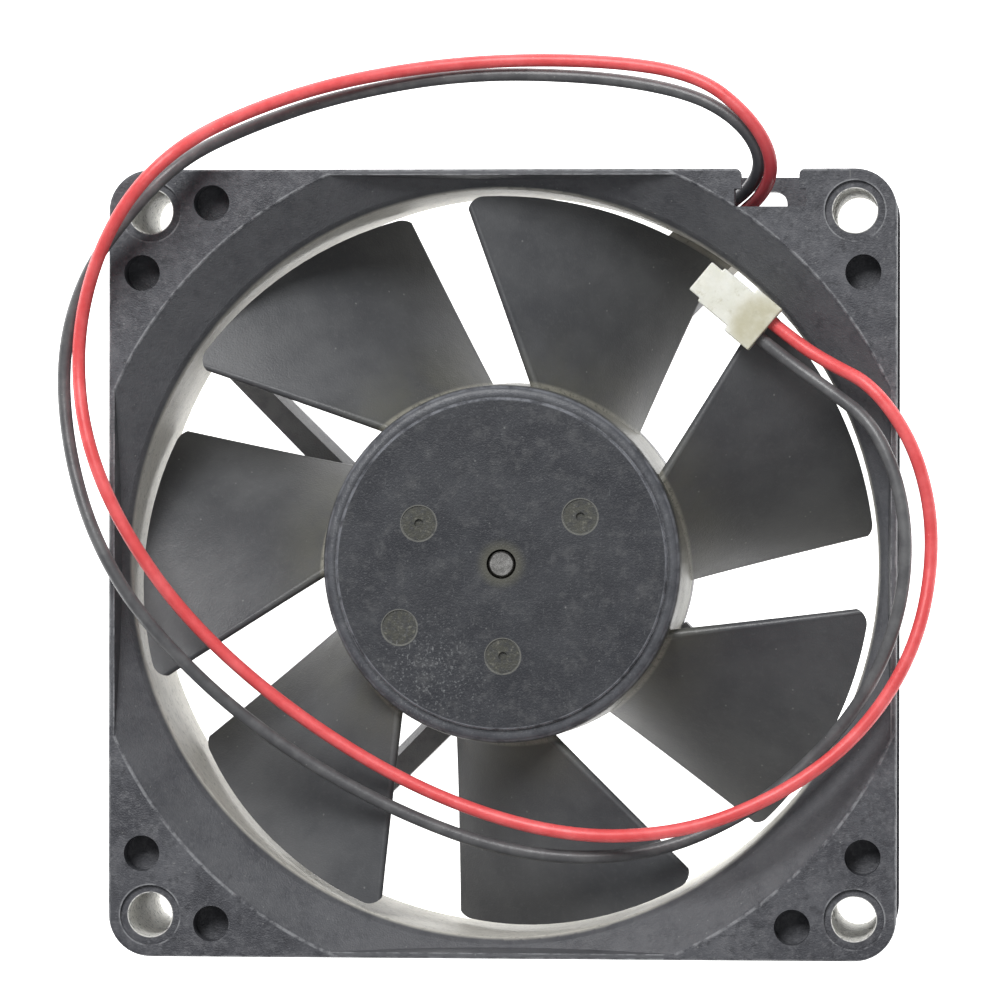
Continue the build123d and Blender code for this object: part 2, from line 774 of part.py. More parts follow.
# ---------------------------------------------------------------- leads
# Each free lead rises from the notch, arcs out past the top edge, crosses one corner of
# the frame, hangs over the intake and comes back to the plug: red, then black.
red_route = [
    (24.99, 36.68, 16.0),
    (26.8, 38.0, 20.2),
    (27.4, 41.4, 22.6),
    (24.8, 45.7, 23.2),
    (19.6, 49.7, 22.4),
    (9.8, 51.3, 20.2),
    (-4.0, 51.3, 19.2),
    (-16.8, 49.2, 21.4),
    (-26.0, 45.7, 26.8),
    (-32.2, 41.8, 33.0),
    (-37.3, 36.5, 33.0),
    (-41.3, 29.6, 28.9),
    (-43.2, 21.6, 26.0),
    (-42.0, 12.6, 28.4),
    (-38.1, 3.4, 28.8),
    (-31.2, -6.5, 26.2),
    (-20.2, -16.0, 24.8),
    (-7.0, -23.6, 25.2),
    (6.6, -27.6, 26.2),
    (18.8, -26.9, 29.4),
    (28.8, -22.9, 29.4),
    (36.7, -16.8, 28.7),
    (42.2, -8.0, 28.7),
    (43.9, 2.4, 26.2),
    (42.2, 11.4, 28.2),
    (37.8, 18.0, 28.0),
    (33.2, 20.3, 25.2),
    (29.61, 22.58, 23.75),
    (26.08, 25.54, 23.75),
]
black_route = [
    (23.95, 37.71, 16.0),
    (25.5, 38.7, 19.8),
    (26.2, 41.6, 21.4),
    (23.8, 45.1, 22.0),
    (18.9, 47.9, 21.2),
    (9.4, 49.7, 19.2),
    (-4.2, 50.1, 18.2),
    (-17.0, 47.8, 19.8),
    (-26.2, 44.3, 23.6),
    (-32.4, 40.7, 28.7),
    (-37.6, 35.3, 28.7),
    (-42.3, 29.2, 27.0),
    (-44.8, 21.2, 25.2),
    (-44.0, 11.6, 26.4),
    (-40.9, 2.2, 28.7),
    (-35.6, -6.4, 28.2),
    (-25.6, -16.4, 25.0),
    (-12.6, -24.4, 24.2),
    (1.4, -29.6, 24.2),
    (14.4, -29.7, 24.4),
    (24.8, -25.4, 24.8),
    (32.8, -18.6, 25.4),
    (38.1, -11.2, 28.2),
    (40.9, -2.8, 28.7),
    (40.9, 6.2, 28.7),
    (38.0, 14.0, 27.8),
    (33.1, 17.7, 25.0),
    (28.32, 21.05, 23.75),
    (24.79, 24.01, 23.75),
]


def corner_radii(points, largest=math.inf):
    """The radius of each corner's arc: 0.45 of its shorter run over tan(half the turn)."""
    radii = []
    for before, corner, after in zip(points, points[1:], points[2:]):
        run_in = corner - before
        run_out = after - corner
        half_turn = math.radians(run_in.get_angle(run_out)) / 2
        radii.append(min(0.45 * min(run_in.length, run_out.length) / math.tan(half_turn), largest))
    return radii


def build_lead(route, label, largest=math.inf):
    """A round lead swept along straight runs joined by tangent arcs."""
    points = [Vector(*point) for point in route]
    radii = corner_radii(points, largest)
    with BuildPart() as lead:
        with BuildLine():
            path = FilletPolyline(*points, radius=radii)
        with BuildSketch(Plane(origin=path @ 0, z_dir=path % 0)):
            Circle(lead_r)
        sweep(path=path)
    ratio = lead.part.volume / (math.pi * lead_r**2 * path.length)
    print(label, "length", round(path.length, 1), "volume over section times length", round(ratio, 4))
    print("   corner radii", [round(radius, 1) for radius in radii])
    save(lead, label)


def tail_route(free_route, hand):
    """From the board, down into the groove, and up through the arch to meet the free lead."""
    offset = lead_strut_offset + hand * lead_spread
    start = Vector(*free_route[0])
    below = start - (Vector(*free_route[1]) - start) * 1.2
    return [
        strut_point(lead_end_reach, offset, lead_on_board),
        strut_point(8.0, offset, lead_on_board),
        strut_point(13.4, offset, lead_in_groove),
        strut_point(rise_reach, offset, lead_in_groove),
        below,
        start,
    ]


build_lead(tail_route(red_route, -1), "red_lead_tail", largest=2 * 2 * lead_r)
build_lead(tail_route(black_route, 1), "black_lead_tail", largest=2 * 2 * lead_r)
build_lead(red_route, "red_lead")
build_lead(black_route, "black_lead")
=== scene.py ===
import json

import bpy
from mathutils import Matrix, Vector


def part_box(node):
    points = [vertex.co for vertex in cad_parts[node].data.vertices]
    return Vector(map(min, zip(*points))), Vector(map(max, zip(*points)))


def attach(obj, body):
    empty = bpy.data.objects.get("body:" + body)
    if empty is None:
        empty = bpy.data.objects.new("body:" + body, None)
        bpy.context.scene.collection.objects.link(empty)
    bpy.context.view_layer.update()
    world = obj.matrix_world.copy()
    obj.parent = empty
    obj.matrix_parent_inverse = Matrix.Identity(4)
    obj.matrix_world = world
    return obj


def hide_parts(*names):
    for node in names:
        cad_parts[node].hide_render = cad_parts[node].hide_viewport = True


# A square axial fan with a seven-bladed rotor and two free leads, seen from its intake side.
# Blender works in metres here; sizes that are written in millimetres are multiplied by MM.
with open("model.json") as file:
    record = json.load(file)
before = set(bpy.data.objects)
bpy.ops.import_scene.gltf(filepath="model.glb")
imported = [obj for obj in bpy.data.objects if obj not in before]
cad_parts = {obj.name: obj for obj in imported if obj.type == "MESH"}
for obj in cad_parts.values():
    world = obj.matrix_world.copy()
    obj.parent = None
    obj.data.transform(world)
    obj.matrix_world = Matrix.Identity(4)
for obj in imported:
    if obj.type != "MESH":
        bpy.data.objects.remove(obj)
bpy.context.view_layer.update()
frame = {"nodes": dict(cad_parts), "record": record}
MM = 0.001
nodes = frame["nodes"]

# ---------------------------------------------------------------- sizes, in millimetres
frame_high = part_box("frame")[1]
half_side = frame_high.x / MM
front_face = frame_high.z / MM
screw_hole = frame["record"]["mounts"][0]["dims"]
hole_offset = screw_hole["spacing_x_mm"] / 2
hole_radius = screw_hole["hole_r_mm"]
hole_ring_radius = 3.05
duct_radius = 38.1
throat_height = 21.0  # in the rounded throat, between the flare and the straight duct
flare_radius = 43.2
lip_width = 0.6
above_struts = 5.0  # the struts and the motor base's rim end below this
hub_radius = 18.4  # halfway up its slightly tapered wall
hub_disc_radius = 16.85
shoulder_inner_radius = 17.5
shoulder_outer_radius = 18.0
shoulder_foot = 23.0  # the hub's face and rounded shoulder are above this, its wall below
mark_radius = 1.8
moulding_marks = [(8.01, 4.82), (-8.4, 4.1), (0.16, -9.35), (-10.35, -6.47)]
hub_smear = (-7.5, -11.5)  # the middle of the dustiest part of the hub's face
shaft_radius = 1.5
plug_collar = (26.2, 24.14, 23.75)  # in the plug's wider end, near where the leads go in
lead_radius = 0.675
table_drop = 0.02  # keeps the table's sheet clear of the frame's rear face
table_reach = 3000.0

# Refractive indices, and the strengths of the table's glow and of the room's light.
plastic_ior = 1.52
pvc_ior = 1.53
nylon_ior = 1.53
table_glow = 1.5
room_light = 0.3


def linear(hex_colour):
    """An sRGB hex colour as linear red, green, blue and full opacity."""
    shares = [int(hex_colour[start : start + 2], 16) / 255 for start in (1, 3, 5)]
    return (*[s / 12.92 if s <= 0.04045 else ((s + 0.055) / 1.055) ** 2.4 for s in shares], 1.0)


# ---------------------------------------------------------------- camera
camera_data = bpy.data.cameras.new("bench_camera")
camera_data.lens = 224
camera_data.sensor_width = 36
camera = bpy.data.objects.new("bench_camera", camera_data)
camera.location = (0.04825, 0.01065, 0.65283)
camera.rotation_euler = (-0.0065, 0.07684, 0.0013)
bpy.context.collection.objects.link(camera)
bpy.context.scene.camera = camera

# ---------------------------------------------------------------- leads
# Both leads rise from the notch, arc out past the top edge, cross the corner of the
# frame, hang over the intake and come back to the plug.
red_route = [
    (24.99, 36.68, 16.0),
    (26.8, 38.0, 20.2),
    (27.4, 41.4, 22.6),
    (24.8, 45.7, 23.2),
    (19.6, 49.7, 22.4),
    (9.8, 51.3, 20.2),
    (-4.0, 51.3, 19.2),
    (-16.8, 49.2, 21.4),
    (-26.0, 45.7, 26.8),
    (-32.2, 41.8, 33.0),
    (-37.3, 36.5, 33.0),
    (-41.3, 29.6, 28.9),
    (-43.2, 21.6, 26.0),
    (-42.0, 12.6, 28.4),
    (-38.1, 3.4, 28.8),
    (-31.2, -6.5, 26.2),
    (-20.2, -16.0, 24.8),
    (-7.0, -23.6, 25.2),
    (6.6, -27.6, 26.2),
    (18.8, -26.9, 29.4),
    (28.8, -22.9, 29.4),
    (36.7, -16.8, 28.7),
    (42.2, -8.0, 28.7),
    (43.9, 2.4, 26.2),
    (42.2, 11.4, 28.2),
    (37.8, 18.0, 28.0),
    (33.2, 20.3, 25.2),
    (29.61, 22.58, 23.75),
    (26.08, 25.54, 23.75),
]
black_route = [
    (23.95, 37.71, 16.0),
    (25.5, 38.7, 19.8),
    (26.2, 41.6, 21.4),
    (23.8, 45.1, 22.0),
    (18.9, 47.9, 21.2),
    (9.4, 49.7, 19.2),
    (-4.2, 50.1, 18.2),
    (-17.0, 47.8, 19.8),
    (-26.2, 44.3, 23.6),
    (-32.4, 40.7, 28.7),
    (-37.6, 35.3, 28.7),
    (-42.3, 29.2, 27.0),
    (-44.8, 21.2, 25.2),
    (-44.0, 11.6, 26.4),
    (-40.9, 2.2, 28.7),
    (-35.6, -6.4, 28.2),
    (-25.6, -16.4, 25.0),
    (-12.6, -24.4, 24.2),
    (1.4, -29.6, 24.2),
    (14.4, -29.7, 24.4),
    (24.8, -25.4, 24.8),
    (32.8, -18.6, 25.4),
    (38.1, -11.2, 28.2),
    (40.9, -2.8, 28.7),
    (40.9, 6.2, 28.7),
    (38.0, 14.0, 27.8),
    (33.1, 17.7, 25.0),
    (28.32, 21.05, 23.75),
    (24.79, 24.01, 23.75),
]


def run_lead(name, route, node):
    """A free lead as one smooth line through its route, in place of its solid."""
    line = bpy.data.curves.new(name, "CURVE")
    line.dimensions = "3D"
    line.bevel_depth = lead_radius  # in millimetres: each point's radius brings it to metres
    line.bevel_resolution = 6
    line.use_fill_caps = True
    spline = line.splines.new("NURBS")
    spline.points.add(len(route) - 1)
    for point, place in zip(spline.points, route):
        point.co = (*[value * MM for value in place], 1.0)
        point.radius = MM
    spline.order_u = 3
    spline.use_endpoint_u = True
    spline.resolution_u = 10
    lead = bpy.data.objects.new(name, line)
    bpy.context.collection.objects.link(lead)
    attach(lead, "housing")
    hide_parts(node)
    return lead


red_lead = run_lead("red_wire", red_route, "red_lead")
black_lead = run_lead("black_wire", black_route, "black_lead")


# ---------------------------------------------------------------- materials
class Finish:
    """A material being made. Its place is in millimetres, and a share runs from 0 to 1."""

    def __init__(self, name):
        self.material = bpy.data.materials.new(name)
        self.material.use_nodes = True
        self.material.node_tree.nodes.clear()
        here = self.add("TexCoord", out="Object")
        to_mm = (1 / MM, 1 / MM, 1 / MM)
        self.place = self.add("VectorMath", {0: here, 1: to_mm}, operation="MULTIPLY")
        self.height = self.add("SeparateXYZ", {0: self.place}, out=2)

    def add(self, kind, inputs=None, out=0, **settings):
        """Adds a node with its settings and its links, and gives one of its outputs. An input
        is a number, an sRGB hex colour, or the output that feeds it."""
        tree = self.material.node_tree
        made = tree.nodes.new("ShaderNode" + kind)
        for name, value in settings.items():
            setattr(made, name, value)
        for socket, source in (inputs or {}).items():
            if isinstance(source, bpy.types.NodeSocket):
                tree.links.new(source, made.inputs[socket])
            elif isinstance(source, str):
                made.inputs[socket].default_value = linear(source)
            else:
                made.inputs[socket].default_value = source
        return made.outputs[out] if made.outputs else None

    def patches(self, size, low, high, least=0.0, most=1.0, detail=4.0, stretch=(1, 1, 1)):
        """Soft irregular patches this many millimetres across; the cloud's range from low to
        high becomes the range from least to most."""
        place = self.add("Mapping", {"Vector": self.place, "Scale": stretch})
        grain = {"Vector": place, "Scale": 1 / size, "Detail": detail, "Roughness": 0.65}
        cloud = self.add("TexNoise", grain)
        limits = {0: cloud, 1: low, 2: high, 3: least, 4: most}
        return self.add("MapRange", limits, interpolation_type="SMOOTHSTEP")

    def region(self, *borders):
        """A part of the surface with soft borders. Each border is a measure, the value at
        which the region starts, and the value at which it is full."""
        share = 1.0
        for measure, start, full in borders:
            limits = {0: measure, 1: start, 2: full}
            step = self.add("MapRange", limits, interpolation_type="SMOOTHSTEP")
            share = self.add("Math", {0: share, 1: step}, operation="MULTIPLY")
        return share

    def band(self, measure, centre, width):
        """A line: full where the measure is at the centre, and nothing a width away."""
        past = self.add("Math", {0: measure, 1: centre}, operation="SUBTRACT")
        away = self.add("Math", {0: past}, operation="ABSOLUTE")
        return self.region((away, width, 0.3 * width))

    def flecks(self, spacing, width, share, length=1.0, twist=0.0):
        """Specks, or scratches that are length times as long as wide: about one place per
        spacing, and only a share of the places filled."""
        turn = {"Vector": self.place, "Rotation": (0, 0, twist), "Scale": (1, 1 / length, 1)}
        cells = {"Vector": self.add("Mapping", turn), "Scale": 1 / spacing}
        middle = self.add("TexVoronoi", cells)
        near = self.region((middle, width / spacing, 0.4 * width / spacing))
        pick = self.add("SeparateColor", {0: self.add("TexVoronoi", cells, out="Color")})
        filled = self.add("Math", {0: pick, 1: share}, operation="LESS_THAN")
        return self.add("Math", {0: near, 1: filled}, operation="MULTIPLY")

    def reach(self, x=0.0, y=0.0, mirrored=False):
        """The distance in plan from a point, or from it mirrored into all four quarters."""
        start = self.place
        if mirrored:
            start = self.add("VectorMath", {0: start}, operation="ABSOLUTE")
        flat = self.add("VectorMath", {0: start, 1: (1, 1, 0)}, operation="MULTIPLY")
        return self.add("VectorMath", {0: flat, 1: (x, y, 0)}, out="Value", operation="DISTANCE")

    def layer(self, body, colour, *shares):
        """A colour laid over the body, as strong as the product of the shares."""
        strength = shares[0]
        for share in shares[1:]:
            strength = self.add("Math", {0: strength, 1: share}, operation="MULTIPLY")
        return self.add("Mix", {0: strength, 6: body, 7: colour}, out=2, data_type="RGBA")

    def exit_shade(self):
        """The first centimetre of lead above the notch, where shade is painted darker than the
        rest.
        """
        notch = {0: self.place, 1: red_route[0]}
        away = self.add("VectorMath", notch, out="Value", operation="DISTANCE")
        return self.region((away, 15.0, 6.0))

    def skin(self, coarse, coarse_depth, fine, fine_depth):
        """A moulded or drawn surface: slow unevenness over fine grain, in millimetres."""
        under = None
        for size, depth in ((fine, fine_depth), (coarse, coarse_depth)):
            rise = {"Height": self.patches(size, 0.2, 0.8, detail=2.0), "Distance": depth * MM}
            if under is not None:
                rise["Normal"] = under
            under = self.add("Bump", rise)
        return under

    def close(self, **inputs):
        """Ends the material in one shader; an input's name has underscores for its spaces."""
        named = {name.replace("_", " "): value for name, value in inputs.items()}
        self.add("OutputMaterial", {"Surface": self.add("BsdfPrincipled", named)})
        return self.material


def frame_plastic():
    """Glass-filled PBT, moulded with a fine spark texture. Dust lies on the struts and a little in
    the duct and the screw holes, whose walls are also painted pale as a reflection of the table;
    the edges carry painted highlights and some rubbed wear."""
    f = Finish("dusty_black_pbt")
    axis = f.reach()
    hole = f.reach(hole_offset, hole_offset, mirrored=True)
    body = f.layer("#393a40", "#525358", f.patches(7.0, 0.33, 0.68, detail=5.0))
    body = f.layer(body, "#66666a", f.patches(2.0, 0.46, 0.7, most=0.5))
    body = f.layer(body, "#747578", f.patches(0.45, 0.5, 0.7, most=0.38))
    body = f.layer(body, "#2b2c31", f.patches(0.9, 0.48, 0.32, most=0.6))
    # The flare is a little paler and more even than the flat faces.
    on_flare = f.region((axis, flare_radius, flare_radius - 0.4))
    body = f.layer(body, "#5e5f62", on_flare, f.patches(3.0, 0.3, 0.6, 0.35, 0.7))
    # The struts and the motor base are greyer, because the airflow leaves its dust there.
    on_struts = f.region(
        (f.height, above_struts + 0.3, above_struts), (axis, duct_radius + 0.3, duct_radius - 0.3)
    )
    body = f.layer(body, "#97979a", on_struts, f.patches(1.5, 0.3, 0.6, 0.6, 0.9))
    # The duct's wall below the throat, and the walls of the screw holes, are pale: some dust, and a
    # painted reflection of the pale table below.
    below_throat = f.region((f.height, throat_height + 0.2, throat_height - 0.5))
    on_duct = f.band(axis, duct_radius, 0.9)
    body = f.layer(body, "#d2cfc6", on_duct, below_throat, f.patches(1.2, 0.2, 0.6, 0.75, 1.0))
    body = f.layer(body, "#8f8d87", on_duct, below_throat, f.patches(0.6, 0.52, 0.68, most=0.7))
    # The holes' walls: a painted reflection of the table, with dark speckle.
    in_hole = f.region((hole, hole_radius + 0.12, hole_radius + 0.02))
    body = f.layer(body, "#e6e5e0", in_hole)
    body = f.layer(body, "#4d4e50", in_hole, f.patches(0.45, 0.53, 0.63, most=0.85))
    # Pale lines, partly painted edge highlights and partly rubbed wear: the flare's rim, the inner
    # edge of each straight lip, the holes' rings and the outer edge, each broken in patches.
    at_front = f.region((f.height, front_face - 0.3, front_face - 0.1))
    quarter = f.add("VectorMath", {0: f.place}, operation="ABSOLUTE")
    across, along = (f.add("SeparateXYZ", {0: quarter}, out=side) for side in (0, 1))
    from_middle = f.add("Math", {0: across, 1: along}, operation="MAXIMUM")
    broken = f.patches(1.6, 0.38, 0.6, most=0.75)
    by_flare = f.region((axis, flare_radius + 0.2, flare_radius - 0.3))
    for line in (
        [f.band(axis, flare_radius, 0.22)],
        [f.band(from_middle, half_side - lip_width, 0.16), by_flare],
        [f.band(hole, hole_ring_radius, 0.2)],
        [f.band(from_middle, half_side, 0.3)],
    ):
        body = f.layer(body, "#909194", at_front, broken, *line)
    for marks in (
        f.flecks(0.9, 0.11, 0.35),
        f.flecks(1.9, 0.06, 0.25, 14, 0.7),
        f.flecks(2.3, 0.05, 0.25, 18, -0.4),
        f.flecks(3.1, 0.07, 0.25, 22, 1.3),
    ):
        body = f.layer(body, "#9a9b99", marks, 0.4)
    roughness = f.patches(7.0, 0.3, 0.7, 0.46, 0.6)
    normal = f.skin(2.5, 0.02, 0.18, 0.03)
    return f.close(Base_Color=body, Roughness=roughness, IOR=plastic_ior, Normal=normal)


def impeller_plastic():
    """The same plastic, satin. Its hub is bluish and finely scratched, brown-grey dust lies at
    the blades' roots, and the hub's wall is pale with dust and a painted reflection of the table."""
    f = Finish("satin_black_pbt")
    axis = f.reach()
    body = f.layer("#48494c", "#57585a", f.patches(9.0, 0.3, 0.7))
    body = f.layer(body, "#616263", f.patches(0.5, 0.5, 0.75, most=0.35))
    by_root = f.region((axis, hub_radius + 7.6, hub_radius - 0.4))
    body = f.layer(body, "#5c5c54", by_root, f.patches(6.0, 0.25, 0.65, most=0.7))
    on_hub = f.region(
        (axis, hub_radius - 0.2, hub_radius - 0.4), (f.height, shoulder_foot, shoulder_foot + 0.2)
    )
    body = f.layer(body, "#282a30", on_hub)
    body = f.layer(body, "#36383d", on_hub, f.patches(5.0, 0.35, 0.7, detail=5.0))
    body = f.layer(body, "#4e4f51", on_hub, f.patches(1.4, 0.48, 0.72, most=0.65))
    body = f.layer(body, "#4f5054", on_hub, f.patches(0.4, 0.5, 0.7, most=0.4))
    # The hub's wall below the shoulder is pale: some dust, and a painted reflection of the table.
    below_shoulder = f.region((f.height, shoulder_foot - 0.4, shoulder_foot - 2.0))
    on_wall = f.band(axis, hub_radius, 0.5)
    body = f.layer(body, "#8b897f", on_wall, below_shoulder, f.patches(0.9, 0.2, 0.6, 0.55, 1.0))
    body = f.layer(body, "#55554f", on_wall, below_shoulder, f.patches(0.4, 0.5, 0.65, most=0.75))
    # The hub's edges carry thin pale lines: painted highlights, broken in patches like rubbed wear.
    for radius, width, most in (
        (hub_disc_radius - 0.08, 0.22, 0.95),
        (shoulder_inner_radius, 0.6, 0.35),
        (shoulder_outer_radius, 0.22, 0.8),
    ):
        highlight_and_wear = f.patches(1.5, 0.35, 0.6, 0.2, most)
        body = f.layer(body, "#7b7d83", f.band(axis, radius, width), on_hub, highlight_and_wear)
    # Dust and flash in the moulding marks: a thin pale ring round a speckled olive floor.
    for x, y in moulding_marks:
        mark = f.reach(x, y)
        in_mark = f.region((mark, mark_radius, mark_radius - 0.2))
        body = f.layer(body, "#47473f", on_hub, in_mark, f.patches(0.5, 0.35, 0.6, 0.35, 0.95))
        body = f.layer(body, "#76756b", on_hub, in_mark, f.patches(0.45, 0.55, 0.68, most=0.7))
        ring = f.band(mark, mark_radius, 0.13)
        body = f.layer(body, "#73736d", on_hub, ring, f.patches(0.8, 0.3, 0.5, 0.3, 0.85))
    # A brownish ring round the shaft.
    by_shaft = f.region((axis, shaft_radius + 1.3, shaft_radius + 0.1))
    body = f.layer(body, "#5b5a4d", on_hub, by_shaft, 0.6)
    # Fine dust, thickest on the lower left of the hub, and stray specks and hairline scratches.
    from_smear = f.reach(*hub_smear)
    thickness = {0: from_smear, 1: 9.0, 2: 1.5, 3: 0.14, 4: 0.5}
    thick = f.add("MapRange", thickness, interpolation_type="SMOOTHSTEP")
    smear = f.region((from_smear, 7.5, 2.0))
    body = f.layer(body, "#7d7f81", on_hub, smear, 0.6, f.patches(0.35, 0.56, 0.66))
    for marks in (
        f.flecks(0.42, 0.12, 0.3),
        f.flecks(0.28, 0.08, 0.3),
        f.flecks(0.6, 0.08, 0.4, 5, 0.2),
        f.flecks(0.7, 0.07, 0.4, 7, -0.8),
        f.flecks(1.1, 0.08, 0.5, 12, 0.9),
    ):
        body = f.layer(body, "#8f9192", marks, on_hub, thick)
    for marks in (
        f.flecks(1.6, 0.14, 0.35),
        f.flecks(2.6, 0.06, 0.3, 16, 1.2),
        f.flecks(3.4, 0.07, 0.35, 20, -0.5),
    ):
        body = f.layer(body, "#9b9c9a", marks, 0.4)
    roughness = f.patches(9.0, 0.3, 0.7, 0.38, 0.5)
    normal = f.skin(3.0, 0.02, 0.2, 0.014)
    return f.close(Base_Color=body, Roughness=roughness, IOR=plastic_ior, Normal=normal)


def red_pvc():
    """Soft PVC sheath, extruded: a satin skin with faint marks along it, that glows a little
    where light gets into it."""
    f = Finish("red_pvc_sheath")
    body = f.layer("#e35153", "#f0686a", f.patches(3.0, 0.35, 0.7))
    body = f.layer(body, "#f2a5a2", f.flecks(0.9, 0.1, 0.25), 0.5)
    # Painted shade: the sheath is darker near the notch.
    body = f.layer(body, "#8f2c37", f.exit_shade(), 0.8)
    return f.close(
        Base_Color=body,
        Roughness=0.42,
        IOR=pvc_ior,
        Normal=f.skin(0.6, 0.012, 0.15, 0.004),
        Subsurface_Weight=0.15,
        Subsurface_Radius=(1.0, 0.3, 0.25),
        Subsurface_Scale=0.5 * MM,
    )


def black_pvc():
    """The same sheath in black, with a softer shine and grey dust on it."""
    f = Finish("black_pvc_sheath")
    body = f.layer("#535355", "#686869", f.patches(2.5, 0.35, 0.7))
    body = f.layer(body, "#9b9b97", f.flecks(0.8, 0.1, 0.35), 0.5)
    # Painted shade: the sheath is darker near the notch.
    body = f.layer(body, "#2c2c32", f.exit_shade(), 0.8)
    normal = f.skin(0.6, 0.012, 0.15, 0.004)
    return f.close(Base_Color=body, Roughness=0.4, IOR=pvc_ior, Normal=normal)


def ivory_nylon():
    """Unfilled nylon 66, moulded: milky, lets some light through, and greyed by handling,
    most of all at its wider end."""
    f = Finish("ivory_nylon")
    body = f.layer("#dfdfd3", "#eeeee6", f.patches(2.5, 0.3, 0.7))
    collar = {0: f.place, 1: plug_collar}
    from_collar = f.add("VectorMath", collar, out="Value", operation="DISTANCE")
    on_collar = f.region((from_collar, 4.2, 2.6))
    body = f.layer(body, "#b7b190", on_collar, f.patches(1.8, 0.25, 0.65, 0.45, 0.75))
    body = f.layer(body, "#b5b198", f.patches(1.0, 0.55, 0.75, most=0.6))
    return f.close(
        Base_Color=body,
        Roughness=0.4,
        IOR=nylon_ior,
        Normal=f.skin(1.5, 0.02, 0.3, 0.006),
        Subsurface_Weight=0.35,
        Subsurface_Radius=(1.0, 0.95, 0.8),
        Subsurface_Scale=0.8 * MM,
    )


def shaft_steel():
    """Hardened ground steel, dulled on its end by handling, with a darker bevelled rim."""
    f = Finish("ground_steel")
    body = f.layer("#7f7e7c", "#a8a7a5", f.patches(0.8, 0.3, 0.7))
    rim = f.region((f.reach(), shaft_radius - 0.3, shaft_radius - 0.18))
    body = f.layer(body, "#3b3a37", rim, 0.9)
    lines = f.patches(0.08, 0.2, 0.8, detail=3.0, stretch=(1, 8, 1))
    normal = f.add("Bump", {"Height": lines, "Distance": 0.004 * MM})
    shine = {0: lines, 1: 0.2, 2: 0.8, 3: 0.35, 4: 0.5}
    roughness = f.add("MapRange", shine, interpolation_type="SMOOTHSTEP")
    return f.close(Base_Color=body, Metallic=1.0, Roughness=roughness, Normal=normal)


def metal(name, dark, light, low, high, lay, lay_depth, stretch=(1, 1, 1)):
    """A bare metal: two tones in patches, a lay left by its making, and an uneven shine
    between two roughnesses."""
    f = Finish(name)
    body = f.layer(dark, light, f.patches(3.0, 0.3, 0.7))
    lines = f.patches(lay, 0.2, 0.8, detail=3.0, stretch=stretch)
    normal = f.add("Bump", {"Height": lines, "Distance": lay_depth * MM})
    roughness = f.patches(lay, 0.3, 0.7, low, high, detail=3.0, stretch=stretch)
    return f.close(Base_Color=body, Metallic=1.0, Roughness=roughness, Normal=normal)


def plain(name, dark, light, patch, rough, ior, grain, grain_depth, speck=None, speck_size=0.15):
    """A dull solid: two tones in patches, moulded grain, and specks where it has a filler
    or dust. Its roughness varies by a little each way."""
    f = Finish(name)
    body = f.layer(dark, light, f.patches(patch, 0.3, 0.7))
    if speck:
        body = f.layer(body, speck, f.flecks(5 * speck_size, speck_size, 0.6), 0.6)
    roughness = f.patches(patch, 0.3, 0.7, rough - 0.06, rough + 0.06)
    normal = f.skin(6 * grain, grain_depth, grain, grain_depth)
    return f.close(Base_Color=body, Roughness=roughness, IOR=ior, Normal=normal)


def enamelled_wire():
    """Fine copper wire under a clear amber enamel, wound in even turns across the coil."""
    f = Finish("enamelled_copper")
    winding = {"Vector": f.place, "Scale": 1.6, "Distortion": 0.4}
    turns = f.add("TexWave", winding, out="Fac", bands_direction="Z")
    return f.close(
        Base_Color=f.layer("#7a3a1c", "#b9683a", turns),
        Metallic=0.85,
        Roughness=0.32,
        Coat_Weight=0.5,
        Coat_Roughness=0.15,
        Normal=f.add("Bump", {"Height": turns, "Distance": 0.06 * MM}),
    )


def board_laminate():
    """Glass-epoxy board under a green solder mask; the weave and the copper show faintly."""
    f = Finish("green_board")
    weave = f.add("TexChecker", {"Vector": f.place, "Scale": 2.0}, out="Fac")
    tracks = f.patches(3.5, 0.49, 0.52, detail=1.0)
    body = f.layer("#1d4b2c", "#2a5f38", weave, 0.25)
    return f.close(
        Base_Color=f.layer(body, "#3d7a45", tracks, 0.5),
        Roughness=0.35,
        IOR=1.55,
        Coat_Weight=0.3,
        Coat_Roughness=0.2,
        Normal=f.add("Bump", {"Height": tracks, "Distance": 0.03 * MM}),
    )


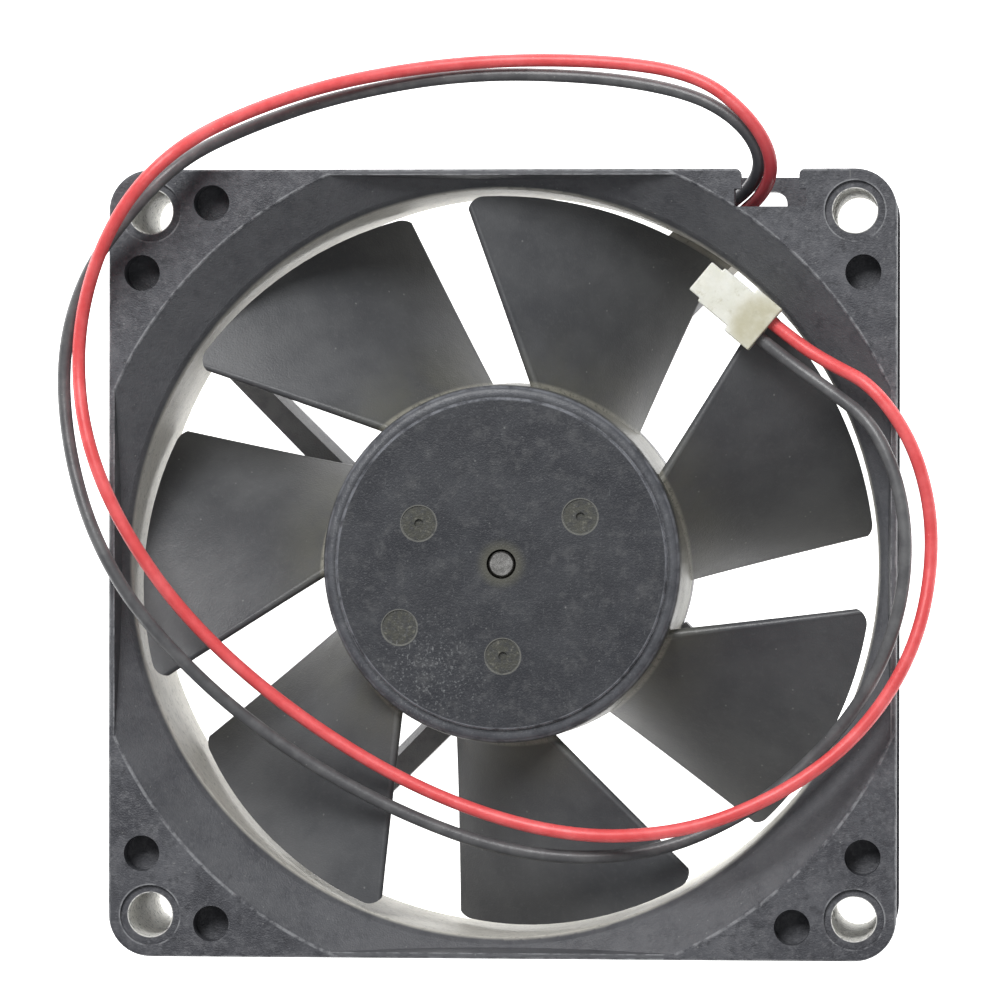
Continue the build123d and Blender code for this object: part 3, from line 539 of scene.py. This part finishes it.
finishes = {
    "frame_plastic": frame_plastic(),
    "impeller_plastic": impeller_plastic(),
    "red_pvc": red_pvc(),
    "black_pvc": black_pvc(),
    "ivory_nylon": ivory_nylon(),
    "enamelled_wire": enamelled_wire(),
    "board_laminate": board_laminate(),
    "shaft_steel": shaft_steel(),
    # Blank polyester film: silver-grey, slightly crinkled where it was pressed on.
    "label_film": plain("silver_film", "#a9abac", "#bfc0c1", 6.0, 0.34, 1.5, 1.4, 0.03, "#8d8e8c"),
    "brass": metal("turned_brass", "#a58443", "#c9a65c", 0.22, 0.38, 0.12, 0.006, (1, 1, 8)),
    "wear_plastic": plain("natural_acetal", "#d2d0c2", "#e3e1d6", 2.0, 0.4, 1.48, 0.4, 0.01),
    "sintered_bronze": metal("sintered_bronze", "#6b4a2a", "#96693e", 0.42, 0.6, 0.12, 0.02),
    "seal_rubber": plain("nitrile_rubber", "#161616", "#222222", 1.5, 0.7, 1.52, 0.2, 0.01),
    "core_steel": metal("electrical_sheet", "#6d7074", "#8a8d91", 0.35, 0.5, 0.3, 0.006, (1, 6, 1)),
    "bobbin_plastic": plain("black_nylon", "#1c1d1f", "#2a2b2e", 3.0, 0.5, 1.53, 0.3, 0.012),
    "tinned_metal": metal("tin_plate", "#b4b5b5", "#d3d4d4", 0.25, 0.4, 0.4, 0.004),
    "chip_epoxy": plain(
        "black_epoxy", "#17181a", "#242528", 1.0, 0.55, 1.55, 0.15, 0.008, "#4a4b4d", 0.06
    ),
    "capacitor_ceramic": plain("fired_ceramic", "#8a6c49", "#a78a64", 0.8, 0.45, 1.6, 0.2, 0.006),
    "solder": metal("tin_solder", "#a9abad", "#cfd1d2", 0.2, 0.45, 0.5, 0.02),
    "yoke_steel": metal("drawn_steel", "#797c80", "#999ca0", 0.3, 0.48, 0.2, 0.006, (1, 1, 6)),
    "bonded_ferrite": plain(
        "bonded_ferrite", "#1e1e20", "#313134", 1.2, 0.6, 1.6, 0.12, 0.012, "#4c4c50", 0.08
    ),
}

slot_of = {subpart["node"]: subpart["material_slot"] for subpart in frame["record"]["subparts"]}
for name, node in nodes.items():
    node.data.materials.clear()
    node.data.materials.append(finishes[slot_of[name]])
for lead, slot in ((red_lead, "red_pvc"), (black_lead, "black_pvc")):
    lead.data.materials.append(finishes[slot])

# ---------------------------------------------------------------- floor and light
# A pale table that glows a little, so that it stays white between the blades and lights
# the walls of the duct and the holes from below.
table = Finish("opal_table")
table_colour = table.layer("#f2f2f1", "#f7f7f6", table.patches(60.0, 0.3, 0.7))
table.close(
    Base_Color=table_colour, Roughness=0.8, Emission_Color="#ffffff", Emission_Strength=table_glow
)
floor_mesh = bpy.data.meshes.new("floor")
half = table_reach * MM
corners = [(-half, -half, 0), (half, -half, 0), (half, half, 0), (-half, half, 0)]
floor_mesh.from_pydata(corners, [], [(0, 1, 2, 3)])
floor_mesh.materials.append(table.material)
floor = bpy.data.objects.new("floor", floor_mesh)
floor.location.z = -table_drop * MM
bpy.context.collection.objects.link(floor)

world = bpy.data.worlds.new("soft_room")
world.use_nodes = True
sky = world.node_tree.nodes["Background"].inputs
sky["Color"].default_value = linear("#f4f6f8")
sky["Strength"].default_value = room_light
bpy.context.scene.world = world


def soft_box(name, place, size, power, colour):
    """A square soft light aimed at the fan."""
    data = bpy.data.lights.new(name, "AREA")
    data.size = size
    data.energy = power
    data.color = linear(colour)[:3]
    light = bpy.data.objects.new(name, data)
    light.location = place
    light.rotation_euler = Vector(place).to_track_quat("Z", "Y").to_euler()
    bpy.context.collection.objects.link(light)


soft_box("window_light", (-0.2, 0.6, 0.85), 0.4, 10.0, "#ffffff")
soft_box("bounce_card", (0.5, -0.4, 0.95), 0.8, 1.0, "#fdfcfa")

bpy.context.scene.view_settings.view_transform = "Standard"
